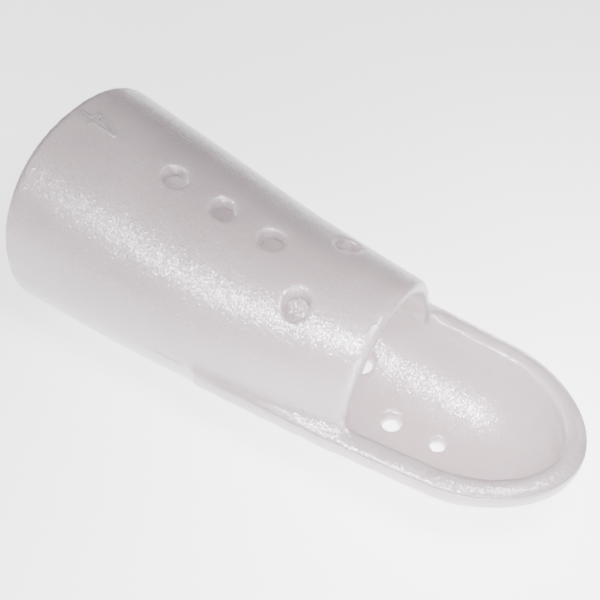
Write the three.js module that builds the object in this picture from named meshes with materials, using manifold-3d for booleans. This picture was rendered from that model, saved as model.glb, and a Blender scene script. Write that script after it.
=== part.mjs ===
// A finger splint, moulded in one piece: a tapering sleeve for the finger, open at its wide mouth,
// which runs on as a trough under the fingertip with a rounded rim along both sides and round the tip.
import * as THREE from 'three';
import { mergeVertices } from 'three/addons/utils/BufferGeometryUtils.js';
import Module from 'manifold-3d';

const wasm = await Module();
wasm.setup();

// Driving dimensions in millimetres. Stations are measured from the lowest point of the mouth towards
// the tip, heights from the surface that the splint lies on, palm side down.
const LENGTH = 60.5;
const WALL = 1.35;
const PALMAR_FLAT_WIDTH = 2.4;

// The sleeve, outside.
const MOUTH_HALF_WIDTH = 12.7;
const MOUTH_TOP = 25.2;
const MOUTH_LEAN_DEG = 2.6;
const KNEE_AT = 24.3;
const KNEE_TOP = 20.4;
const KNEE_BLEND = 3;
const EDGE_AT = 40.1;
const EDGE_HALF_WIDTH = 8.5;
const EDGE_TOP = 20.3;
const SIDE_BELLY = 0.7;
const ARCH_POWER = 2.2;

// The parting line of the mould: it falls from the mouth, runs level, and rises with the trough.
const SEAM_HEIGHT = 9.25;
const SEAM_MOUTH_RISE = 2.65;
const BEND_AT = 38.5;
const TROUGH_RISE_DEG = 4.2;

// The rim: a ledge that starts at a short ramp on the sleeve.
const RIM_START = 24.2;
const RAMP_LENGTH = 0.8;
const RAMP_ROOT = 0.35;
const RIM_STEP = 0.6;
const RIM_WIDTH = 2.05;
const RIM_LEDGE = 0.65;
const RIM_TIP_HALF_WIDTH = 8.7;
const RIM_CROWN = 0.8;
const RIM_SIDE = 1.5;
const TIP_LENGTH = 11.45;

// Inside: the trough's space runs back under the sleeve and leaves a small ledge at the parting line,
// and the window over the trough is a little wider than the trough itself.
const INNER_LEDGE = 0.1;
const WINDOW_DRAFT = 0.08;

// The air holes: tapered pins that all narrow downwards.
const TOP_HOLE_FIRST = 14.2;
const TOP_HOLE_PITCH = 5.87;
const TOP_HOLE_COUNT = 3;
const FLOOR_HOLE_FIRST = 41.3;
const FLOOR_HOLE_PITCH = 5.5;
const FLOOR_HOLE_COUNT = 2;
const FLOOR_PAIR_AT = 35.1;
const PAIR_HALF_SPACING = 4.5;
const TOP_HOLE_WIDE = 2.8;
const TOP_HOLE_NARROW = 2.2;
const FLOOR_HOLE_WIDE = 2.5;
const FLOOR_HOLE_NARROW = 1.85;
const HOLE_OVERRUN = 1.5;

// The raised size figure, drawn in outline with its head towards the tip.
const FIGURE_AT = 2.3;
const FIGURE_RIGHT_SIDE = -0.7;
const FIGURE_HEIGHT = 4.45;
const FIGURE_WIDTH = 2.05;
const FIGURE_STROKE = 0.22;
const FIGURE_RELIEF = 0.25;

// How finely the curved walls are cut into facets.
const ARCH_FACETS = 24;
const BOWL_FACETS = 20;
const SLEEVE_STEPS = 14;
const TROUGH_STEPS = 7;
const TIP_STEPS = 8;
const HOLE_SIDES = 20;

// Rounds of the search for a point on the leaning back, how far a cutter reaches past the wall,
// the largest share of a section that its flat may take, and how near two corners count as one.
const LEAN_ROUNDS = 4;
const OVERLAP = 2;
const LARGEST_FLAT_SHARE = 0.5;
const WELD_DISTANCE = 1e-5;

// Rows of the rim's crown, from its inner lip to the parting line:
// inset is a share of the rim's width in from its outer edge, drop a share of the crown's height.
const RIM_CROWN_ROWS = [
  { inset: 0.84, drop: 0.0 },
  { inset: 0.58, drop: 0.07 },
  { inset: 0.34, drop: 0.26 },
  { inset: 0.14, drop: 0.55 },
  { inset: 0.02, drop: 0.88 },
  { inset: 0.0, drop: 1.0 },
];

// Corners of the size figure's two outlines, the figure itself and the gap inside it:
// up is a share of its height, across a share of its width from its right-hand side.
const FIGURE_OUTLINES = [
  [
    { up: 0.0, across: 0.2 },
    { up: 0.28, across: 0.2 },
    { up: 0.28, across: 0.0 },
    { up: 0.37, across: 0.0 },
    { up: 0.37, across: 0.2 },
    { up: 1.0, across: 0.2 },
    { up: 1.0, across: 0.4 },
    { up: 0.37, across: 1.0 },
    { up: 0.27, across: 1.0 },
    { up: 0.27, across: 0.43 },
    { up: 0.0, across: 0.43 },
  ],
  [
    { up: 0.38, across: 0.83 },
    { up: 0.38, across: 0.44 },
    { up: 0.75, across: 0.44 },
  ],
];

// Two straight runs that meet at a corner, which is rounded off over the blend to each side of it.
function bentLine(x, start, corner, startValue, cornerValue, endValue, end, blend) {
  const before = startValue + (cornerValue - startValue) * ((x - start) / (corner - start));
  const after = cornerValue + (endValue - cornerValue) * ((x - corner) / (end - corner));
  if (x <= corner - blend) {
    return before;
  }
  if (x >= corner + blend) {
    return after;
  }
  const t = (x - corner + blend) / (2 * blend);
  const slopeBefore = (cornerValue - startValue) / (corner - start);
  const slopeAfter = (endValue - cornerValue) / (end - corner);
  const from = cornerValue - slopeBefore * blend;
  return from + 2 * blend * (slopeBefore * t + ((slopeAfter - slopeBefore) / 2) * t * t);
}

function sleeveHalfWidth(x) {
  const u = x / EDGE_AT;
  const straight = MOUTH_HALF_WIDTH + (EDGE_HALF_WIDTH - MOUTH_HALF_WIDTH) * u;
  return straight + SIDE_BELLY * Math.sin(Math.PI * THREE.MathUtils.clamp(u, 0, 1));
}

function sleeveTop(x) {
  return bentLine(x, 0, KNEE_AT, MOUTH_TOP, KNEE_TOP, EDGE_TOP, EDGE_AT, KNEE_BLEND);
}

// How far the trough and its rim have risen at a station past the bend.
function troughRise(x) {
  return Math.max(0, x - BEND_AT) * Math.tan(THREE.MathUtils.degToRad(TROUGH_RISE_DEG));
}

function seamHeight(x) {
  const back = Math.max(0, 1 - x / BEND_AT);
  return SEAM_HEIGHT + SEAM_MOUTH_RISE * back * back + troughRise(x);
}

function rimHeight(x) {
  return seamHeight(x) + RIM_CROWN;
}

// Half-width of the rim's outer edge before the tip rounds it in.
function rimHalfWidth(x) {
  const atStart = sleeveHalfWidth(RIM_START) + RIM_STEP;
  const u = (x - RIM_START) / (LENGTH - RIM_START);
  return atStart + (RIM_TIP_HALF_WIDTH - atStart) * u;
}

// Share of its width that a plan outline, set in from the rim's edge, keeps at a station: the tip is
// half an ellipse.
function tipShare(x, inset) {
  const u = Math.max(0, x - (LENGTH - TIP_LENGTH)) / (TIP_LENGTH - inset);
  return Math.sqrt(Math.max(0, 1 - u * u));
}

// Stations of the trough up to a tip that is set in from the rim's edge, closer together round the tip.
function troughStations(from, inset) {
  const tipFrom = LENGTH - TIP_LENGTH;
  const stations = [];
  for (let i = 0; i < TROUGH_STEPS; i += 1) {
    stations.push(from + ((tipFrom - from) * i) / TROUGH_STEPS);
  }
  for (let i = 0; i < TIP_STEPS; i += 1) {
    const turn = (Math.PI / 2) * (i / TIP_STEPS);
    stations.push(tipFrom + (TIP_LENGTH - inset) * Math.sin(turn));
  }
  return stations;
}

// Half of a section above the seam: an arch from the left wall over the top to the right wall.
function archPoints(x, halfWidth, seam, top) {
  const points = [];
  for (let i = 0; i <= ARCH_FACETS; i += 1) {
    const turn = Math.PI * (1 - i / ARCH_FACETS);
    const across = Math.cos(turn);
    const up = Math.sin(turn);
    const y = halfWidth * Math.sign(across) * Math.pow(Math.abs(across), 2 / ARCH_POWER);
    const z = seam + (top - seam) * Math.pow(Math.max(0, up), 2 / ARCH_POWER);
    points.push(new THREE.Vector3(x, y, z));
  }
  return points;
}

// Half of a section below the seam: a bowl from the right wall down to a narrow flat and up the left wall.
function bowlPoints(x, halfWidth, seam, bottom, flatHalfWidth) {
  const flatTurn = Math.acos(Math.min(LARGEST_FLAT_SHARE, flatHalfWidth / halfWidth));
  const steps = BOWL_FACETS / 2;
  const right = [];
  for (let i = 0; i <= steps; i += 1) {
    const turn = flatTurn * (i / steps);
    const y = halfWidth * Math.cos(turn);
    const z = seam - (seam - bottom) * (Math.sin(turn) / Math.sin(flatTurn));
    right.push(new THREE.Vector3(x, y, z));
  }
  const left = right.map((point) => new THREE.Vector3(x, -point.y, point.z)).reverse();
  return [...right, ...left];
}

// A closed skin over rings of equal point counts, each end closed by a fan to its pole.
function skin(rings, startPole, endPole) {
  const count = rings[0].length;
  const positions = rings.flat().flatMap((point) => point.toArray());
  const triangles = [];
  for (let ring = 0; ring + 1 < rings.length; ring += 1) {
    for (let i = 0; i < count; i += 1) {
      const next = (i + 1) % count;
      const a = ring * count + i;
      const b = ring * count + next;
      const c = (ring + 1) * count + next;
      const d = (ring + 1) * count + i;
      triangles.push(a, b, c, a, c, d);
    }
  }
  const start = positions.length / 3;
  positions.push(...startPole.toArray(), ...endPole.toArray());
  const lastRing = (rings.length - 1) * count;
  for (let i = 0; i < count; i += 1) {
    const next = (i + 1) % count;
    triangles.push(start, next, i);
    triangles.push(start + 1, lastRing + i, lastRing + next);
  }
  return bufferGeometry(positions, triangles);
}

function bufferGeometry(positions, triangles) {
  const geometry = new THREE.BufferGeometry();
  geometry.setAttribute('position', new THREE.Float32BufferAttribute(positions, 3));
  geometry.setIndex(triangles);
  return geometry;
}

function centreOf(ring) {
  const sum = new THREE.Vector3();
  ring.forEach((point) => sum.add(point));
  return sum.divideScalar(ring.length);
}

// A closed three.js geometry as a solid that can be joined and cut, turned inside out if it has to be.
function solid(geometry) {
  const bare = geometry.clone();
  bare.deleteAttribute('normal');
  bare.deleteAttribute('uv');
  const merged = mergeVertices(bare, WELD_DISTANCE);
  const vertices = new Float32Array(merged.attributes.position.array);
  const triangles = new Uint32Array(merged.index.array);
  if (signedVolume(vertices, triangles) < 0) {
    for (let i = 0; i < triangles.length; i += 3) {
      const second = triangles[i + 1];
      triangles[i + 1] = triangles[i + 2];
      triangles[i + 2] = second;
    }
  }
  return new wasm.Manifold(new wasm.Mesh({ numProp: 3, vertProperties: vertices, triVerts: triangles }));
}

function signedVolume(vertices, triangles) {
  const corner = (index) => new THREE.Vector3().fromArray(vertices, 3 * index);
  let volume = 0;
  for (let i = 0; i < triangles.length; i += 3) {
    const a = corner(triangles[i]);
    const b = corner(triangles[i + 1]);
    const c = corner(triangles[i + 2]);
    volume += a.dot(b.cross(c)) / 6;
  }
  return volume;
}

function geometryOf(manifold) {
  const mesh = manifold.getMesh();
  const geometry = bufferGeometry(Array.from(mesh.vertProperties), Array.from(mesh.triVerts));
  geometry.computeVertexNormals();
  return geometry;
}

// How far a section leans towards the tip for each millimetre of height: with the mouth at first,
// and less and less towards the front edge, which stands upright.
function leanAt(x) {
  return Math.tan(THREE.MathUtils.degToRad(MOUTH_LEAN_DEG)) * THREE.MathUtils.clamp(1 - x / EDGE_AT, 0, 1);
}

// One whole section of the sleeve, set in by a wall's thickness for the finger's space.
function sleeveSection(x, inset) {
  const halfWidth = sleeveHalfWidth(x) - inset;
  const seam = seamHeight(x);
  const arch = archPoints(x, halfWidth, seam, sleeveTop(x) - inset);
  const bowl = bowlPoints(x, halfWidth, seam, troughRise(x) + inset, PALMAR_FLAT_WIDTH / 2);
  return [...arch, ...bowl.slice(1, -1)].map((point) => point.setX(x + leanAt(x) * point.z));
}

function sleeve(from, to, inset) {
  const rings = [];
  for (let i = 0; i <= SLEEVE_STEPS; i += 1) {
    rings.push(sleeveSection(from + ((to - from) * i) / SLEEVE_STEPS, inset));
  }
  return solid(skin(rings, centreOf(rings[0]), centreOf(rings[rings.length - 1])));
}

// The trough, outside or inside: a bowl section that rounds in and up at the tip.
// lid is how far above the seam its flat top lies.
function trough(from, inset, wall, lid) {
  const rings = troughStations(from, inset).map((x) => {
    const share = tipShare(x, inset);
    const halfWidth = (rimHalfWidth(x) - inset) * share;
    const seam = seamHeight(x);
    const floor = troughRise(x) + wall;
    const bottom = seam - (seam - floor) * share;
    const flat = (PALMAR_FLAT_WIDTH / 2) * share;
    const bowl = bowlPoints(x, halfWidth, seam, bottom, flat);
    const right = new THREE.Vector3(x, halfWidth, seam + lid);
    const left = new THREE.Vector3(x, -halfWidth, seam + lid);
    return lid > 0 ? [right, ...bowl, left] : bowl;
  });
  const tip = LENGTH - inset;
  const endPole = new THREE.Vector3(tip, 0, seamHeight(tip));
  return solid(skin(rings, centreOf(rings[0]), endPole));
}

// Right-hand points of the rim's plan outline, set in from its outer edge, at a drop below its crown.
// The outline starts at the foot of the ramp, which stays inside the sleeve's wall.
function rimOutline(inset, drop) {
  const rampFoot = RIM_START - RAMP_LENGTH;
  const points = [{ x: rampFoot, y: sleeveHalfWidth(rampFoot) - RAMP_ROOT }];
  troughStations(RIM_START, inset).forEach((x) => {
    points.push({ x, y: (rimHalfWidth(x) - inset) * tipShare(x, inset) });
  });
  points[0].y = Math.min(points[0].y, points[1].y - inset);
  return points.map((point) => new THREE.Vector3(point.x, point.y, rimHeight(point.x) - drop));
}

// The way into the trough from above, ahead of the sleeve's front edge.
function window() {
  const inset = RIM_WIDTH - WINDOW_DRAFT;
  const rings = troughStations(EDGE_AT, inset).map((x) => {
    const halfWidth = (rimHalfWidth(x) - inset) * tipShare(x, inset);
    const low = seamHeight(x) + INNER_LEDGE / 2;
    const high = rimHeight(x) + OVERLAP;
    return [
      new THREE.Vector3(x, halfWidth, high),
      new THREE.Vector3(x, halfWidth, low),
      new THREE.Vector3(x, -halfWidth, low),
      new THREE.Vector3(x, -halfWidth, high),
    ];
  });
  const tip = LENGTH - inset;
  const endPole = new THREE.Vector3(tip, 0, seamHeight(tip) + INNER_LEDGE);
  return solid(skin(rings, centreOf(rings[0]), endPole));
}

// The rim as a plate under the crown, stacked from plan outlines. The finger's space hollows it later.
function rim() {
  const rows = RIM_CROWN_ROWS.map((row) => ({ inset: row.inset * RIM_WIDTH, drop: row.drop * RIM_CROWN }));
  rows.push({ inset: 0, drop: RIM_CROWN + RIM_SIDE });
  const halves = rows.map((row) => rimOutline(row.inset, row.drop));
  const rings = rows.map((row, i) => {
    const tip = LENGTH - row.inset;
    const end = new THREE.Vector3(tip, 0, rimHeight(tip) - row.drop);
    const left = halves[i].map((point) => new THREE.Vector3(point.x, -point.y, point.z)).reverse();
    return [...halves[i], end, ...left];
  });
  const count = rings[0].length;
  const positions = rings.flat().flatMap((point) => point.toArray());
  const triangles = [];
  for (let ring = 0; ring + 1 < rings.length; ring += 1) {
    for (let i = 0; i < count; i += 1) {
      const next = (i + 1) % count;
      const a = ring * count + i;
      const b = ring * count + next;
      const c = a + count;
      const d = b + count;
      triangles.push(a, b, d, a, d, c);
    }
  }
  const bottom = (rings.length - 1) * count;
  for (let i = 0; i + 1 < count - 1 - i; i += 1) {
    const right = i;
    const left = count - 1 - i;
    if (right + 1 === left - 1) {
      triangles.push(right, left, right + 1);
      triangles.push(bottom + right, bottom + right + 1, bottom + left);
    } else {
      triangles.push(right, left, left - 1, right, left - 1, right + 1);
      triangles.push(bottom + right, bottom + left - 1, bottom + left);
      triangles.push(bottom + right, bottom + right + 1, bottom + left - 1);
    }
  }
  return solid(bufferGeometry(positions, triangles));
}

// The point on the back of the sleeve over a place in plan. A few rounds find the station whose
// leaning section passes there.
function backPoint(x, y) {
  let station = x;
  let z = 0;
  for (let round = 0; round < LEAN_ROUNDS; round += 1) {
    const seam = seamHeight(station);
    const share = Math.pow(Math.abs(y) / sleeveHalfWidth(station), ARCH_POWER);
    z = seam + (sleeveTop(station) - seam) * Math.pow(1 - share, 1 / ARCH_POWER);
    station = x - leanAt(station) * z;
  }
  return new THREE.Vector3(x, y, z);
}

// One tapered pin, wide above and narrow below, through a wall between two heights.
function holePin(x, y, low, high, narrow, wide) {
  const height = high - low;
  const pin = new THREE.CylinderGeometry(wide / 2, narrow / 2, height, HOLE_SIDES);
  pin.rotateX(Math.PI / 2);
  pin.translate(x, y, (low + high) / 2);
  return solid(pin);
}

// A pin through the back of the sleeve, at its full widths where it meets the wall's two faces.
function topHole(x, y) {
  const outside = backPoint(x, y).z;
  const taper = (TOP_HOLE_WIDE - TOP_HOLE_NARROW) / WALL;
  const wide = TOP_HOLE_WIDE + taper * HOLE_OVERRUN;
  const narrow = TOP_HOLE_NARROW - taper * (HOLE_OVERRUN / 2);
  return holePin(x, y, outside - WALL - HOLE_OVERRUN / 2, outside + HOLE_OVERRUN, narrow, wide);
}

// A pin through the palm side's wall.
function floorHole(x, y) {
  const share = y / (rimHalfWidth(x) - RIM_WIDTH);
  const seam = seamHeight(x);
  const inside = seam - (seam - troughRise(x) - WALL) * Math.sqrt(1 - share * share);
  const taper = (FLOOR_HOLE_WIDE - FLOOR_HOLE_NARROW) / WALL;
  const wide = FLOOR_HOLE_WIDE + taper * (HOLE_OVERRUN / 2);
  const narrow = FLOOR_HOLE_NARROW - taper * (HOLE_OVERRUN / 2);
  return holePin(x, y, inside - WALL - HOLE_OVERRUN / 2, inside + HOLE_OVERRUN / 2, narrow, wide);
}

// All the air holes: a row and then a pair in the back, a pair and then a row in the floor.
function airHoles() {
  const pins = [];
  for (let i = 0; i < TOP_HOLE_COUNT; i += 1) {
    pins.push(topHole(TOP_HOLE_FIRST + i * TOP_HOLE_PITCH, 0));
  }
  for (let i = 0; i < FLOOR_HOLE_COUNT; i += 1) {
    pins.push(floorHole(FLOOR_HOLE_FIRST + i * FLOOR_HOLE_PITCH, 0));
  }
  for (const side of [-1, 1]) {
    pins.push(topHole(TOP_HOLE_FIRST + TOP_HOLE_COUNT * TOP_HOLE_PITCH, side * PAIR_HALF_SPACING));
    pins.push(floorHole(FLOOR_PAIR_AT, side * PAIR_HALF_SPACING));
  }
  return pins;
}

// One straight stroke of the size figure: a bar on the back of the sleeve that stands out by the relief.
function figureStroke(from, to) {
  const ends = [from, to].map((end) => {
    const x = FIGURE_AT + end.up * FIGURE_HEIGHT;
    const y = FIGURE_RIGHT_SIDE + end.across * FIGURE_WIDTH;
    return backPoint(x, y);
  });
  const run = ends[1].clone().sub(ends[0]);
  const depth = FIGURE_RELIEF + WALL / 2;
  const bar = new THREE.BoxGeometry(run.length() + FIGURE_STROKE, FIGURE_STROKE, depth);
  bar.translate(run.length() / 2, 0, FIGURE_RELIEF - depth / 2);
  const along = run.normalize();
  const across = new THREE.Vector3(0, 0, 1).cross(along).normalize();
  const out = along.clone().cross(across);
  bar.applyMatrix4(new THREE.Matrix4().makeBasis(along, across, out));
  bar.translate(ends[0].x, ends[0].y, ends[0].z);
  return solid(bar);
}

// The size figure: every side of its two outlines is one stroke.
function sizeFigure() {
  return FIGURE_OUTLINES.flatMap((corners) =>
    corners.map((corner, i) => figureStroke(corner, corners[(i + 1) % corners.length]))
  );
}

// The whole moulding: sleeve, trough and rim joined, then the finger's space and the holes cut out.
function splintShell() {
  let shell = sleeve(0, EDGE_AT, 0);
  shell = shell.add(trough(RIM_START, RIM_LEDGE, 0, 0));
  shell = shell.add(rim());
  for (const stroke of sizeFigure()) {
    shell = shell.add(stroke);
  }
  shell = shell.subtract(sleeve(-OVERLAP, EDGE_AT + OVERLAP, WALL));
  shell = shell.subtract(trough(RIM_START, RIM_WIDTH, WALL, INNER_LEDGE));
  shell = shell.subtract(window());
  for (const pin of airHoles()) {
    shell = shell.subtract(pin);
  }
  const material = new THREE.MeshStandardMaterial({ color: 0xdcd6d8, roughness: 0.45, metalness: 0 });
  const mesh = new THREE.Mesh(geometryOf(shell), material);
  mesh.name = 'splint_shell';
  return mesh;
}

const splint = new THREE.Group();
splint.add(splintShell());
splint.position.set(-LENGTH / 2, 0, 0);

export default splint;
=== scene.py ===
import math

import bpy
from mathutils import Matrix, Vector


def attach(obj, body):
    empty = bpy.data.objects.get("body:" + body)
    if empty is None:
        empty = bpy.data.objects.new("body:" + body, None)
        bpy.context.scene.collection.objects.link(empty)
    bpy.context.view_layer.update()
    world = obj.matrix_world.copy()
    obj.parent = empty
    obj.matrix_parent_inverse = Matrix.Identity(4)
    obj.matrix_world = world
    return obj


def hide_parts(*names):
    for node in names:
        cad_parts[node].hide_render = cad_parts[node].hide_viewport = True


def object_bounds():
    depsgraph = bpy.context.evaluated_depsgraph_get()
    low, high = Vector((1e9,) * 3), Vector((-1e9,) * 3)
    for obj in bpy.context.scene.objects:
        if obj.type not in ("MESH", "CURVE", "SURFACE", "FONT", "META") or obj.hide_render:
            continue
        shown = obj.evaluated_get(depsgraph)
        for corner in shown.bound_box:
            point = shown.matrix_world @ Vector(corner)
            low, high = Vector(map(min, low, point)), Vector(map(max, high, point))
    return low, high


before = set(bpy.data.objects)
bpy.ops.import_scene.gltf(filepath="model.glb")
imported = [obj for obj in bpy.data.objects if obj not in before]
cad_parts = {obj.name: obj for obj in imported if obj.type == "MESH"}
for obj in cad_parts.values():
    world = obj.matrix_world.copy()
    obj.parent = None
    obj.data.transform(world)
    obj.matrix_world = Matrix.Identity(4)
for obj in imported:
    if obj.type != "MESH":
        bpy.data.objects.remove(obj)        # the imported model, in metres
cadLow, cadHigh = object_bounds()
millimetre = 0.001
print("frame loaded")


def linearColour(hexText):
    # a screen colour such as "#dcd6d8" as the linear values that Blender's shaders take
    parts = [int(hexText[i:i + 2], 16) / 255 for i in (1, 3, 5)]
    return [c / 12.92 if c <= 0.04045 else ((c + 0.055) / 1.055) ** 2.4 for c in parts] + [1.0]


def addNode(tree, kind, settings=None, links=None):
    # one node with its settings; each input is given a value or the socket that feeds it
    node = tree.nodes.new(kind)
    for name, value in (settings or {}).items():
        setattr(node, name, value)
    for socket, value in (links or {}).items():
        if isinstance(value, bpy.types.NodeSocket):
            tree.links.new(value, node.inputs[socket])
        else:
            node.inputs[socket].default_value = value
    return node


def calc(operation, *parts):
    # one step of arithmetic in a tree; a part is a plain number or a Value of that tree
    tree = next(part.tree for part in parts if isinstance(part, Value))
    links = {i: getattr(part, "socket", part) for i, part in enumerate(parts)}
    node = addNode(tree, "ShaderNodeMath", {"operation": operation}, links)
    return Value(tree, node.outputs[0])


class Value:
    # a number that a tree works out, so that formulas below read as formulas
    def __init__(self, tree, socket):
        self.tree = tree
        self.socket = socket

    def __add__(self, other):
        return calc("ADD", self, other)

    def __radd__(self, other):
        return calc("ADD", other, self)

    def __sub__(self, other):
        return calc("SUBTRACT", self, other)

    def __rsub__(self, other):
        return calc("SUBTRACT", other, self)

    def __mul__(self, other):
        return calc("MULTIPLY", self, other)

    def __rmul__(self, other):
        return calc("MULTIPLY", other, self)

    def __truediv__(self, other):
        return calc("DIVIDE", self, other)

    def __rtruediv__(self, other):
        return calc("DIVIDE", other, self)

    def __pow__(self, other):
        return calc("POWER", self, other)


def between(value, low, high):
    return calc("MINIMUM", calc("MAXIMUM", value, low), high)


def newTree(name, sizes):
    # an empty Geometry Nodes tree with one named input for each size
    tree = bpy.data.node_groups.new(name, "GeometryNodeTree")
    tree.interface.new_socket("Geometry", in_out="INPUT", socket_type="NodeSocketGeometry")
    tree.interface.new_socket("Geometry", in_out="OUTPUT", socket_type="NodeSocketGeometry")
    for size in sizes:
        tree.interface.new_socket(size, in_out="INPUT", socket_type="NodeSocketFloat")
    given = tree.nodes.new("NodeGroupInput")
    values = {size: Value(tree, given.outputs[size]) for size in sizes}
    return tree, values, given.outputs["Geometry"]


def closeTree(tree, geometry, material):
    # millimetres from the mouth to the frame's metres, then real meshes with the finish on them
    scaled = addNode(tree, "GeometryNodeTransform", {}, {
        "Geometry": geometry, "Scale": (millimetre,) * 3, "Translation": (cadLow.x, 0, 0)})
    real = addNode(tree, "GeometryNodeRealizeInstances", {}, {"Geometry": scaled.outputs["Geometry"]})
    smooth = addNode(tree, "GeometryNodeSetShadeSmooth", {}, {"Geometry": real.outputs["Geometry"]})
    finish = addNode(tree, "GeometryNodeSetMaterial", {}, {
        "Geometry": smooth.outputs["Geometry"], "Material": material})
    addNode(tree, "NodeGroupOutput", {}, {"Geometry": finish.outputs["Geometry"]})


def runTree(name, tree, sizes, startMesh, material):
    # runs the tree on a mesh and keeps the result as a plain mesh
    obj = bpy.data.objects.new(name, startMesh)
    bpy.context.scene.collection.objects.link(obj)
    modifier = obj.modifiers.new("shape", "NODES")
    modifier.node_group = tree
    for socket in tree.interface.items_tree:
        if socket.name in sizes:
            modifier[socket.identifier] = float(sizes[socket.name])
    graph = bpy.context.evaluated_depsgraph_get()
    made = bpy.data.meshes.new_from_object(obj.evaluated_get(graph))
    obj.modifiers.clear()
    obj.data = made
    made.name = name
    made.materials.clear()
    made.materials.append(material)
    return obj


# The shell's sizes in millimetres. Stations run from the mouth's lowest point towards the tip.
shellSizes = {
    "length": (cadHigh.x - cadLow.x) / millimetre,
    "wall": 1.35,
    "palmarFlat": 2.4,
    "mouthHalfWidth": cadHigh.y / millimetre,
    "mouthTop": cadHigh.z / millimetre,
    "mouthLean": math.tan(math.radians(2.6)),
    "kneeAt": 24.3,
    "kneeTop": 20.4,
    "kneeBlend": 1.2,
    "edgeAt": 40.1,
    "edgeHalfWidth": 8.5,
    "edgeTop": 20.3,
    "sideBelly": 0.7,
    "archPower": 2.2,
    "seamHeight": 9.25,
    "seamMouthRise": 2.65,
    "bendAt": 38.5,
    "troughSlope": math.tan(math.radians(4.2)),
    "rimStart": 24.2,
    "rampSlope": 1.2,
    "rimStep": 0.6,
    "rimWidth": 2.05,
    "rimLedge": 0.65,
    "rimTipHalfWidth": 8.7,
    "rimCrown": 0.8,
    "rimSide": 1.5,
    "crownRun": 1.72,
    "tipLength": 11.45,
    "mouthRound": 0.9,       # how far each rounding reaches from its edge
    "lipRound": 1.3,
    "innerRound": 0.4,
    "flankFillet": 2.2,
    "ledgeRound": 0.4,
    "ledgeFillet": 0.5,
    "innerLedge": 0.1,
    "innerLedgeRound": 0.4,
    "topHoleFirst": 14.2,
    "topHolePitch": 5.87,
    "topPairAt": 31.81,
    "floorHoleFirst": 41.3,
    "floorHolePitch": 5.5,
    "floorPairAt": 35.1,
    "pairHalfSpacing": 4.5,
    "topHoleWide": 2.8,
    "topHoleNarrow": 2.05,
    "floorHoleWide": 2.5,
    "floorHoleNarrow": 1.65,
    "holeRound": 0.3,
    "leastHalfWidth": 2,
    "voxel": 0.3,
    "gridMargin": 3,         # voxels of air round the splint
}


def sleeveShape(s, x):
    # half-width, top, parting line and rise of the floor at a station
    u = x / s["edgeAt"]
    belly = s["sideBelly"] * calc("SINE", between(u, 0, 1) * math.pi)
    halfWidth = s["mouthHalfWidth"] + (s["edgeHalfWidth"] - s["mouthHalfWidth"]) * u + belly
    falling = s["mouthTop"] + (s["kneeTop"] - s["mouthTop"]) * (x / s["kneeAt"])
    pastKnee = (x - s["kneeAt"]) / (s["edgeAt"] - s["kneeAt"])
    level = s["kneeTop"] + (s["edgeTop"] - s["kneeTop"]) * pastKnee
    top = calc("SMOOTH_MAX", falling, level, s["kneeBlend"])
    rise = calc("MAXIMUM", x - s["bendAt"], 0) * s["troughSlope"]
    back = calc("MAXIMUM", 1 - x / s["bendAt"], 0)
    seam = s["seamHeight"] + s["seamMouthRise"] * back * back + rise
    return halfWidth, top, seam, rise


def rimShape(s, x):
    # half-width of the rim's outer edge before the tip rounds it in
    u = s["rimStart"] / s["edgeAt"]
    sleeve = s["mouthHalfWidth"] + (s["edgeHalfWidth"] - s["mouthHalfWidth"]) * u
    sleeve = sleeve + s["sideBelly"] * calc("SINE", u * math.pi)
    start = sleeve + s["rimStep"]
    run = (x - s["rimStart"]) / (s["length"] - s["rimStart"])
    return start + (s["rimTipHalfWidth"] - start) * run


# the least that a share and a slope may be, so that no formula below divides by nothing
leastShare = 0.05
leastSlope = 0.01


def archDistance(a, b, halfWidth, height, power):
    # how far a point lies outside a flattened arch, from its shares of width and height
    r = calc("MAXIMUM", (a ** power + b ** power) ** (1 / power), leastShare)
    slope = ((a ** (power - 1) / halfWidth) ** 2 + (b ** (power - 1) / height) ** 2) ** 0.5
    slope = calc("MAXIMUM", slope / r ** (power - 1), leastSlope)
    return (r - 1) / slope


def bowlDistance(a, b, c, halfWidth, depth, length):
    # the same for an ellipsoid, with the share of its length as well
    r = calc("MAXIMUM", (a * a + b * b + c * c) ** 0.5, leastShare)
    slope = ((a / halfWidth) ** 2 + (b / depth) ** 2 + (c / length) ** 2) ** 0.5
    return (r - 1) / calc("MAXIMUM", slope / r, leastSlope)


def sleeveDistance(s, x, side, z, inset):
    # how far a point lies outside the sleeve, whose skin is moved in by the inset
    halfWidth, top, seam, rise = sleeveShape(s, x)
    halfWidth = halfWidth - inset
    top = top - inset
    bottom = rise + inset
    up = z - seam
    a = side / halfWidth
    height = top - seam
    arch = archDistance(a, calc("MAXIMUM", up, 0) / height, halfWidth, height, s["archPower"])
    flat = s["palmarFlat"] / (2 * halfWidth)
    depth = (seam - bottom) / (1 - flat * flat) ** 0.5
    bowl = bowlDistance(a, calc("MAXIMUM", seam - z, 0) / depth, a * 0, halfWidth, depth, depth)
    above = calc("GREATER_THAN", up, 0)
    oval = above * arch + (1 - above) * bowl
    return calc("MAXIMUM", oval, bottom - z)


def troughDistance(s, x, side, z, inset, wall):
    # how far a point lies outside the trough, and the height of the parting line there
    seam, rise = sleeveShape(s, x)[2:]
    halfWidth = calc("MAXIMUM", rimShape(s, x) - inset, s["leastHalfWidth"])
    bottom = rise + wall
    flat = s["palmarFlat"] / (2 * halfWidth)
    depth = (seam - bottom) / (1 - flat * flat) ** 0.5
    tip = s["tipLength"] - inset
    beyond = calc("MAXIMUM", x - (s["length"] - s["tipLength"]), 0)
    down = calc("MAXIMUM", seam - z, 0)
    bowl = bowlDistance(side / halfWidth, down / depth, beyond / tip, halfWidth, depth, tip)
    return calc("MAXIMUM", bowl, bottom - z), seam


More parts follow.
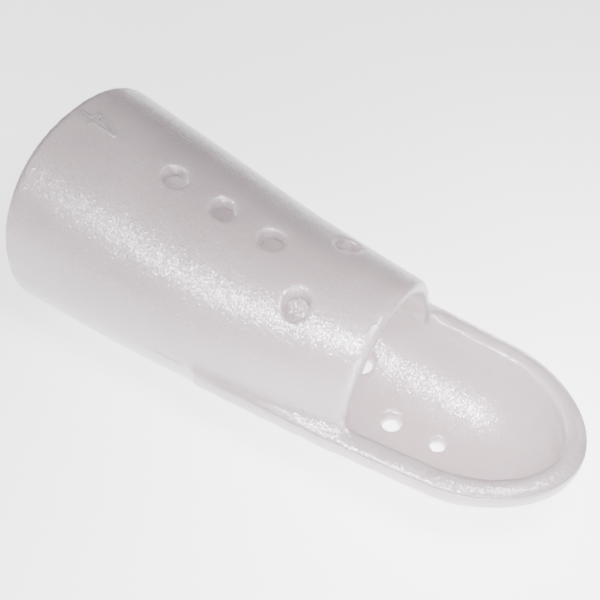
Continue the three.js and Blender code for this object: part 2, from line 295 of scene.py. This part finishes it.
def rimDistance(s, x, side, z):
    # how far a point lies outside the rim, a ledge with a crowned top
    seam = sleeveShape(s, x)[2]
    ramp = s["rampSlope"] * calc("MAXIMUM", s["rimStart"] - x, 0)
    outer = calc("MAXIMUM", rimShape(s, x) - ramp, s["leastHalfWidth"])
    beyond = calc("MAXIMUM", x - (s["length"] - s["tipLength"]), 0)
    plan = bowlDistance(side / outer, side * 0, beyond / s["tipLength"], outer, outer, s["tipLength"])
    acrossCrown = calc("MAXIMUM", plan / s["crownRun"] + 1, 0)
    upCrown = calc("MAXIMUM", (z - seam) / s["rimCrown"], 0)
    crown = bowlDistance(acrossCrown, upCrown, side * 0, s["crownRun"], s["rimCrown"], s["rimCrown"])
    under = seam - s["rimSide"] - z
    return calc("SMOOTH_MAX", crown, under, s["ledgeRound"])


def holeDistance(tree, x, y, centres, radius):
    # how far a point lies outside the nearest of the holes, whose axes stand upright
    plan = addNode(tree, "ShaderNodeCombineXYZ", {}, {"X": x.socket, "Y": y.socket})
    nearest = addNode(tree, "GeometryNodeProximity", {"target_element": "POINTS"}, {
        0: centres, "Sample Position": plan.outputs[0]})
    return Value(tree, nearest.outputs["Distance"]) - radius


def holeRow(tree, count, first, step):
    # a row of hole centres, from its first centre and its step, each an (x, y) pair of Values
    start = addNode(tree, "ShaderNodeCombineXYZ", {}, {"X": first[0].socket, "Y": first[1].socket})
    offset = addNode(tree, "ShaderNodeCombineXYZ", {}, {"X": step[0].socket, "Y": step[1].socket})
    line = addNode(tree, "GeometryNodeMeshLine", {"mode": "OFFSET"}, {
        "Count": count, "Start Location": start.outputs[0], "Offset": offset.outputs[0]})
    return line.outputs["Mesh"]


def joined(tree, *parts):
    # several sets of points as one
    node = tree.nodes.new("GeometryNodeJoinGeometry")
    for part in parts:
        tree.links.new(part, node.inputs["Geometry"])
    return node.outputs["Geometry"]


def makeShell(material):
    tree, s = newTree("splintShape", shellSizes)[:2]
    place = addNode(tree, "GeometryNodeInputPosition")
    axes = addNode(tree, "ShaderNodeSeparateXYZ", {}, {0: place.outputs[0]})
    x, y, z = (Value(tree, axes.outputs[i]) for i in range(3))
    side = calc("ABSOLUTE", y)

    # the sleeve leans with its mouth, and stands upright at its front edge
    leaning = s["mouthLean"] * between(1 - x / s["edgeAt"], 0, 1)
    station = x - leaning * z
    sleeve = sleeveDistance(s, station, side, z, 0)
    core = sleeveDistance(s, station, side, z, s["wall"])
    core = calc("MAXIMUM", core, x - s["edgeAt"] - s["rimWidth"])
    seam = sleeveShape(s, x)[2]

    # the upper sleeve ends at the front edge, with a soft lip
    upper = calc("MAXIMUM", sleeve, seam - s["rimSide"] - z)
    upper = calc("SMOOTH_MAX", upper, x - s["edgeAt"], s["lipRound"])
    lower = calc("MAXIMUM", calc("MAXIMUM", sleeve, x - s["edgeAt"]), z - seam)
    trough, seam = troughDistance(s, x, side, z, s["rimLedge"], 0)
    trough = calc("MAXIMUM", trough, z - seam)
    rim = rimDistance(s, x, side, z)
    body = calc("SMOOTH_MIN", upper, rim, s["flankFillet"])
    body = calc("SMOOTH_MIN", body, trough, s["ledgeFillet"])
    body = calc("MINIMUM", body, lower)
    body = calc("SMOOTH_MAX", body, 0 - station, s["mouthRound"])

    # the finger's space: the sleeve's core, and the trough's space that runs back under it
    basin, seam = troughDistance(s, x, side, z, s["rimWidth"], s["wall"])
    lid = calc("MINIMUM", z - seam - s["innerLedge"], s["edgeAt"] - x)
    basin = calc("SMOOTH_MAX", basin, lid, s["innerLedgeRound"])
    space = calc("SMOOTH_MIN", core, basin, s["innerLedgeRound"])
    shell = calc("SMOOTH_MAX", body, 0 - space, s["innerRound"])

    # the air holes, wide where they meet the outside of the back and the inside of the floor
    zero = s["length"] * 0
    topRow = holeRow(tree, 3, (s["topHoleFirst"], zero), (s["topHolePitch"], zero))
    nearSide = 0 - s["pairHalfSpacing"]
    acrossPair = (zero, s["pairHalfSpacing"] * 2)
    topPair = holeRow(tree, 2, (s["topPairAt"], nearSide), acrossPair)
    floorRow = holeRow(tree, 2, (s["floorHoleFirst"], zero), (s["floorHolePitch"], zero))
    floorPair = holeRow(tree, 2, (s["floorPairAt"], nearSide), acrossPair)
    outward = between(core / s["wall"], 0, 1)
    topRadius = (s["topHoleNarrow"] + (s["topHoleWide"] - s["topHoleNarrow"]) * outward) / 2
    floorRadius = (s["floorHoleWide"] + (s["floorHoleNarrow"] - s["floorHoleWide"]) * outward) / 2
    topHoles = holeDistance(tree, x, y, joined(tree, topRow, topPair), topRadius)
    floorHoles = holeDistance(tree, x, y, joined(tree, floorRow, floorPair), floorRadius)
    # the upper holes stay two walls above the parting line, and the floor's two walls below it
    topHoles = calc("MAXIMUM", topHoles, seam + s["wall"] * 2 - z)
    floorHoles = calc("MAXIMUM", floorHoles, z - seam + s["wall"] * 2)
    holes = calc("MINIMUM", topHoles, floorHoles)
    shell = calc("SMOOTH_MAX", shell, 0 - holes, s["holeRound"])

    # the solid as a field on a grid, and its skin
    pad = s["gridMargin"] * s["voxel"]
    low = addNode(tree, "ShaderNodeCombineXYZ", {}, {
        "X": (0 - pad).socket,
        "Y": (0 - s["mouthHalfWidth"] - pad).socket,
        "Z": (0 - pad).socket})
    high = addNode(tree, "ShaderNodeCombineXYZ", {}, {
        "X": (s["length"] + pad).socket,
        "Y": (s["mouthHalfWidth"] + pad).socket,
        "Z": (s["mouthTop"] + pad).socket})
    counts = {
        "Resolution X": ((s["length"] + pad * 2) / s["voxel"]).socket,
        "Resolution Y": ((s["mouthHalfWidth"] + pad) * 2 / s["voxel"]).socket,
        "Resolution Z": ((s["mouthTop"] + pad * 2) / s["voxel"]).socket,
    }
    # positive in the plastic and negative in the air, at most a millimetre either way
    density = between(0 - shell, -1, 1)
    grid = addNode(tree, "GeometryNodeVolumeCube", {}, {
        "Density": density.socket, "Background": -1.0,
        "Min": low.outputs[0], "Max": high.outputs[0], **counts})
    skin = addNode(tree, "GeometryNodeVolumeToMesh", {}, {
        "Volume": grid.outputs["Volume"], "Threshold": 0.0})
    closeTree(tree, skin.outputs["Mesh"], material)
    return runTree("splintShell", tree, shellSizes, bpy.data.meshes.new("start"), material)


# The raised size figure, in outline, with its head towards the tip.
figureSizes = {
    "at": 2.3,
    "rightSide": -0.7,
    "height": 4.45,
    "width": 2.05,
    "step": 0.15,
    "strokeRadius": 0.12,
    "strokeSides": 10,
    "lift": 0.06,
    "rayFrom": 40,
}
# corners of the figure and of the gap inside it, as shares of its height and, from the right, its width
figureOutlines = [
    [(0, 0.2), (0.28, 0.2), (0.28, 0), (0.37, 0), (0.37, 0.2), (1, 0.2), (1, 0.4),
     (0.37, 1), (0.27, 1), (0.27, 0.43), (0, 0.43)],
    [(0.38, 0.83), (0.38, 0.44), (0.75, 0.44)],
]


def makeSizeFigure(material, shell):
    tree, s, outline = newTree("figureShape", figureSizes)
    curve = addNode(tree, "GeometryNodeMeshToCurve", {}, {"Mesh": outline})
    fine = addNode(tree, "GeometryNodeResampleCurve", {"mode": "LENGTH"}, {
        "Curve": curve.outputs["Curve"], "Length": s["step"].socket})

    # each point drops onto the back of the shell, which is measured in millimetres here
    back = addNode(tree, "GeometryNodeObjectInfo", {}, {"Object": shell})
    scaled = addNode(tree, "GeometryNodeTransform", {}, {
        "Geometry": back.outputs["Geometry"], "Scale": (1 / millimetre,) * 3,
        "Translation": (-cadLow.x / millimetre, 0, 0)})
    place = addNode(tree, "GeometryNodeInputPosition")
    above = addNode(tree, "ShaderNodeCombineXYZ", {}, {"Z": s["rayFrom"].socket})
    source = addNode(tree, "ShaderNodeVectorMath", {"operation": "ADD"}, {
        0: place.outputs[0], 1: above.outputs[0]})
    drop = addNode(tree, "GeometryNodeRaycast", {}, {
        "Target Geometry": scaled.outputs["Geometry"], "Source Position": source.outputs[0],
        "Ray Direction": (0, 0, -1), "Ray Length": s["rayFrom"].socket})
    lift = addNode(tree, "ShaderNodeCombineXYZ", {}, {"Z": s["lift"].socket})
    laid = addNode(tree, "GeometryNodeSetPosition", {}, {
        "Geometry": fine.outputs["Curve"],
        "Position": drop.outputs["Hit Position"],
        "Offset": lift.outputs[0]})
    profile = addNode(tree, "GeometryNodeCurvePrimitiveCircle", {}, {
        "Resolution": s["strokeSides"].socket, "Radius": s["strokeRadius"].socket})
    stroke = addNode(tree, "GeometryNodeCurveToMesh", {}, {
        "Curve": laid.outputs["Geometry"], "Profile Curve": profile.outputs["Curve"]})
    closeTree(tree, stroke.outputs["Mesh"], material)

    points, edges = [], []
    for corners in figureOutlines:
        first = len(points)
        for i, (up, across) in enumerate(corners):
            points.append((figureSizes["at"] + up * figureSizes["height"],
                           figureSizes["rightSide"] + across * figureSizes["width"], 0))
            edges.append((first + i, first + (i + 1) % len(corners)))
    start = bpy.data.meshes.new("figureOutline")
    start.from_pydata(points, edges, [])
    return runTree("sizeFigure", tree, figureSizes, start, material)


# The mould's parting line: a fine bead along both sides of the sleeve and round the rim.
partingSizes = {
    "beadRadius": 0.13,
    "beadSides": 8,
    "sunk": 0.07,
    "sunkAtTip": 0.21,
    "startAt": 11,
    "fadeIn": 9,         # the bead swells from a share of its radius over this length
    "fadeFrom": 0.05,
    "above": 0.25,       # how far over the rim's widest height the line runs
    "tipShare": 0.3,     # share of the curve that goes round the tip
    "points": 240,
}


def makePartingLine(material):
    sizes = {**shellSizes, **partingSizes}
    tree, s = newTree("partingShape", sizes)[:2]

    # one line from -1 on the near side to 1 on the far side, with the tip at 0
    line = addNode(tree, "GeometryNodeCurvePrimitiveLine", {}, {"Start": (-1, 0, 0), "End": (1, 0, 0)})
    fine = addNode(tree, "GeometryNodeResampleCurve", {}, {
        "Curve": line.outputs["Curve"], "Count": s["points"].socket})
    place = addNode(tree, "GeometryNodeInputPosition")
    axes = addNode(tree, "ShaderNodeSeparateXYZ", {}, {0: place.outputs[0]})
    way = Value(tree, axes.outputs[0])
    fromTip = calc("ABSOLUTE", way)
    sideways = calc("SIGN", way)

    # straight from the mouth to where the tip begins, then a quarter of an ellipse to the end
    tipFrom = s["length"] - s["tipLength"]
    angle = between(fromTip / s["tipShare"], 0, 1) * (math.pi / 2)
    straight = calc("MAXIMUM", (fromTip - s["tipShare"]) / (1 - s["tipShare"]), 0)
    tipReach = (s["tipLength"] - s["sunkAtTip"]) * calc("COSINE", angle)
    x = tipFrom - (tipFrom - s["startAt"]) * straight + tipReach
    seam = sleeveShape(s, x)[2]
    station = x - s["mouthLean"] * between(1 - x / s["edgeAt"], 0, 1) * seam
    sleeve = sleeveShape(s, station)[0]
    rim = rimShape(s, x) - s["rampSlope"] * calc("MAXIMUM", s["rimStart"] - x, 0)
    onRim = calc("GREATER_THAN", rim, sleeve)
    halfWidth = calc("MAXIMUM", sleeve, rim) - s["sunk"]
    y = sideways * halfWidth * calc("SINE", angle)
    z = seam + s["above"] * onRim
    spot = addNode(tree, "ShaderNodeCombineXYZ", {}, {"X": x.socket, "Y": y.socket, "Z": z.socket})
    laid = addNode(tree, "GeometryNodeSetPosition", {}, {
        "Geometry": fine.outputs["Curve"], "Position": spot.outputs[0]})
    profile = addNode(tree, "GeometryNodeCurvePrimitiveCircle", {}, {
        "Resolution": s["beadSides"].socket, "Radius": s["beadRadius"].socket})

    # way is read again on the laid line, where it is the place along the splint
    grown = between((way - s["startAt"]) / s["fadeIn"], s["fadeFrom"], 1)
    bead = addNode(tree, "GeometryNodeCurveToMesh", {}, {
        "Curve": laid.outputs["Geometry"], "Profile Curve": profile.outputs["Curve"],
        "Scale": grown.socket, "Fill Caps": True})
    closeTree(tree, bead.outputs["Mesh"], material)
    return runTree("partingLine", tree, sizes, bpy.data.meshes.new("start"), material)


def makePlastic(name, changes):
    # injection-moulded polypropylene, unpigmented: milky, lit from within, with a fine satin grain
    # that breaks the highlight into sparkles. The changes give another finish of the same plastic; paler
    # colours in them are a painted highlight.
    look = {
        "dark": "#b5a9ac",
        "light": "#c4b8bb",
        "roughness": 0.25,
        "cloud": 9,             # millimetres across one of the faint clouds in its colour
        "grain": 0.35,          # millimetres across one grain of the texture
        "grainDepth": 0.04,
        "facet": 0.13,          # millimetres across one glinting facet
        "facetTilt": 0.24,      # how far a facet leans, as a share of the surface's normal
        "streakAcross": 0.6,    # flow streaks, in millimetres across and along the splint
        "streakAlong": 6,
        "streakDepth": 0.02,
        "glowDepth": 2.5,       # millimetres that light travels inside the plastic
        **changes,
    }
    material = bpy.data.materials.new(name)
    material.use_nodes = True
    tree = material.node_tree
    shader = tree.nodes["Principled BSDF"]
    coords = addNode(tree, "ShaderNodeTexCoord")
    cloud = addNode(tree, "ShaderNodeTexNoise", {}, {
        "Vector": coords.outputs["Object"], "Scale": 1 / (look["cloud"] * millimetre), "Detail": 3.0})
    tint = addNode(tree, "ShaderNodeMix", {"data_type": "RGBA"}, {
        "Factor": cloud.outputs["Fac"], 6: linearColour(look["dark"]), 7: linearColour(look["light"])})
    tree.links.new(tint.outputs[2], shader.inputs["Base Color"])

    # flow streaks from the mould's filling, and on them the satin grain of its eroded face
    grain = addNode(tree, "ShaderNodeTexNoise", {}, {
        "Vector": coords.outputs["Object"], "Scale": 1 / (look["grain"] * millimetre), "Detail": 2.0})
    drawn = addNode(tree, "ShaderNodeMapping", {}, {
        "Vector": coords.outputs["Object"], "Scale": (look["streakAcross"] / look["streakAlong"], 1, 1)})
    streaks = addNode(tree, "ShaderNodeTexNoise", {}, {
        "Vector": drawn.outputs[0], "Scale": 1 / (look["streakAcross"] * millimetre), "Detail": 1.0})
    flow = addNode(tree, "ShaderNodeBump", {}, {
        "Height": streaks.outputs["Fac"], "Distance": look["streakDepth"] * millimetre, "Strength": 1.0})
    bump = addNode(tree, "ShaderNodeBump", {}, {
        "Height": grain.outputs["Fac"], "Distance": look["grainDepth"] * millimetre, "Strength": 1.0,
        "Normal": flow.outputs["Normal"]})

    # tiny facets in the grain, each tilted its own way, catch the light one by one
    facets = addNode(tree, "ShaderNodeTexVoronoi", {}, {
        "Vector": coords.outputs["Object"], "Scale": 1 / (look["facet"] * millimetre)})
    centred = addNode(tree, "ShaderNodeVectorMath", {"operation": "SUBTRACT"}, {
        0: facets.outputs["Color"], 1: (0.5, 0.5, 0.5)})
    tilt = addNode(tree, "ShaderNodeVectorMath", {"operation": "SCALE"}, {
        0: centred.outputs[0], "Scale": look["facetTilt"]})
    tilted = addNode(tree, "ShaderNodeVectorMath", {"operation": "ADD"}, {
        0: bump.outputs["Normal"], 1: tilt.outputs[0]})
    normal = addNode(tree, "ShaderNodeVectorMath", {"operation": "NORMALIZE"}, {0: tilted.outputs[0]})
    tree.links.new(normal.outputs[0], shader.inputs["Normal"])
    tree.links.new(normal.outputs[0], shader.inputs["Coat Normal"])

    # partly clear, partly milky, with a soft sheen over the sharper sparkle
    shader.inputs["Roughness"].default_value = look["roughness"]
    shader.inputs["IOR"].default_value = 1.49
    shader.inputs["Specular IOR Level"].default_value = 1.0
    shader.inputs["Transmission Weight"].default_value = 0.4
    shader.inputs["Coat Weight"].default_value = 1.0
    shader.inputs["Coat Roughness"].default_value = 0.32
    shader.inputs["Subsurface Weight"].default_value = 1.0
    shader.inputs["Subsurface Radius"].default_value = (1.0, 0.92, 0.94)
    shader.inputs["Subsurface Scale"].default_value = look["glowDepth"] * millimetre
    return material


# The floor: half its width in metres, and how far it lies below the splint in millimetres.
floorSettings = {
    "halfWidth": 1.2,
    "gap": 0.05,
    "colour": "#fafafa",
    "roughness": 0.8,
    "glow": 2.3,
}


def makeStage():
    # pale painted board, large enough to fill the photo's view; its glow lights the plastic from below
    material = bpy.data.materials.new("paintedBoard")
    material.use_nodes = True
    shader = material.node_tree.nodes["Principled BSDF"]
    shader.inputs["Base Color"].default_value = linearColour(floorSettings["colour"])
    shader.inputs["Roughness"].default_value = floorSettings["roughness"]
    shader.inputs["Emission Color"].default_value = (1, 1, 1, 1)
    shader.inputs["Emission Strength"].default_value = floorSettings["glow"]
    mesh = bpy.data.meshes.new("floor")
    half = floorSettings["halfWidth"]
    height = -floorSettings["gap"] * millimetre
    corners = [(-half, -half, height), (half, -half, height), (half, half, height), (-half, half, height)]
    mesh.from_pydata(corners, [], [(0, 1, 2, 3)])
    mesh.materials.append(material)
    floor = bpy.data.objects.new("floor", mesh)
    bpy.context.scene.collection.objects.link(floor)


# The lights: angles in degrees, azimuth from the near side towards the tip, lengths in metres, watts.
softLights = [
    {"name": "overhead", "azimuth": 70, "elevation": 68, "distance": 0.11, "size": 0.035, "power": 0.175},
    {"name": "window", "azimuth": 32, "elevation": 16, "distance": 0.17, "size": 0.09, "power": 0.52},
]
# the spot's direction puts its highlight where the photo's sparkling streak runs
spotLight = {
    "name": "sparkle",
    "direction": Vector((-0.218, -0.672, 0.707)),
    "aim": Vector((0.028, 0, 0.008)),
    "distance": 0.45,
    "cone": 12,
    "radius": 0.03,
    "power": 24,
}
roomGlow = 0.06


def directionFrom(azimuth, elevation):
    # the way from the splint to something that looks at it from these angles
    az, el = math.radians(azimuth), math.radians(elevation)
    return Vector((math.sin(az) * math.cos(el), -math.cos(az) * math.cos(el), math.sin(el)))


def addLight(name, azimuth, elevation, distance, size, power):
    # a square soft light that looks at the middle of the splint's place on the floor
    lamp = bpy.data.lights.new(name, "AREA")
    lamp.shape = "SQUARE"
    lamp.size = size
    lamp.energy = power
    obj = bpy.data.objects.new(name, lamp)
    bpy.context.scene.collection.objects.link(obj)
    away = directionFrom(azimuth, elevation)
    obj.location = away * distance
    obj.rotation_euler = away.to_track_quat("Z", "Y").to_euler()


def addSpot(name, direction, aim, distance, cone, radius, power):
    # a soft spotlight that fades towards the edge of its cone; its shadow would darken the trough
    lamp = bpy.data.lights.new(name, "SPOT")
    lamp.energy = power
    lamp.spot_size = math.radians(cone)
    lamp.spot_blend = 1.0
    lamp.shadow_soft_size = radius
    lamp.use_shadow = False
    obj = bpy.data.objects.new(name, lamp)
    bpy.context.scene.collection.objects.link(obj)
    away = direction.normalized()
    obj.location = aim + away * distance
    obj.rotation_euler = away.to_track_quat("Z", "Y").to_euler()


def makeLights():
    for light in softLights:
        addLight(**light)
    addSpot(**spotLight)
    world = bpy.data.worlds.new("room")
    bpy.context.scene.world = world
    world.use_nodes = True
    background = world.node_tree.nodes["Background"]
    background.inputs["Color"].default_value = (1, 1, 1, 1)
    background.inputs["Strength"].default_value = roomGlow


def makeCamera():
    # where the photograph was taken from: close by, so that the near end looms
    view = {
        "azimuth": 32.709,
        "elevation": 50.346,
        "roll": 1.376,
        "distance": 98.889 * millimetre,
        "target": Vector((-2.153, 1.851, 10.9)) * millimetre,
        "lens": 56.54,
        "sensor": 36,
    }
    camera = bpy.data.cameras.new("camera")
    camera.lens = view["lens"]
    camera.sensor_width = view["sensor"]
    camera.clip_start = 1 * millimetre
    obj = bpy.data.objects.new("camera", camera)
    bpy.context.scene.collection.objects.link(obj)
    back = directionFrom(view["azimuth"], view["elevation"])
    across = math.radians(view["azimuth"])
    right = Vector((math.cos(across), math.sin(across), 0))
    roll = math.radians(view["roll"])
    up = back.cross(right)
    tiltedRight = right * math.cos(roll) + up * math.sin(roll)
    tiltedUp = up * math.cos(roll) - right * math.sin(roll)
    turn = Matrix((tiltedRight, tiltedUp, back)).transposed()
    obj.matrix_world = Matrix.Translation(view["target"] + back * view["distance"]) @ turn.to_4x4()
    bpy.context.scene.camera = obj


plastic = makePlastic("mouldedPolypropylene", {})
# the raised figure has a glossier finish, and its paler colours are a painted highlight for the light its
# sharp edges would catch
polishAndPaintedHighlight = {"dark": "#ddd5d7", "light": "#e8e0e2", "roughness": 0.12}
polishedPlasticWithPaintedHighlight = makePlastic("polishedPolypropyleneWithPaintedHighlight", polishAndPaintedHighlight)
shell = makeShell(plastic)
print("shell made:", len(shell.data.polygons), "faces")
figure = makeSizeFigure(polishedPlasticWithPaintedHighlight, shell)
print("size figure made:", len(figure.data.polygons), "faces")
parting = makePartingLine(plastic)
print("parting line made:", len(parting.data.polygons), "faces")

for piece in (shell, figure, parting):
    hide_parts("splint_shell")
    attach(piece, "root")

makeStage()
makeLights()
makeCamera()
print("stage, lights and camera made")
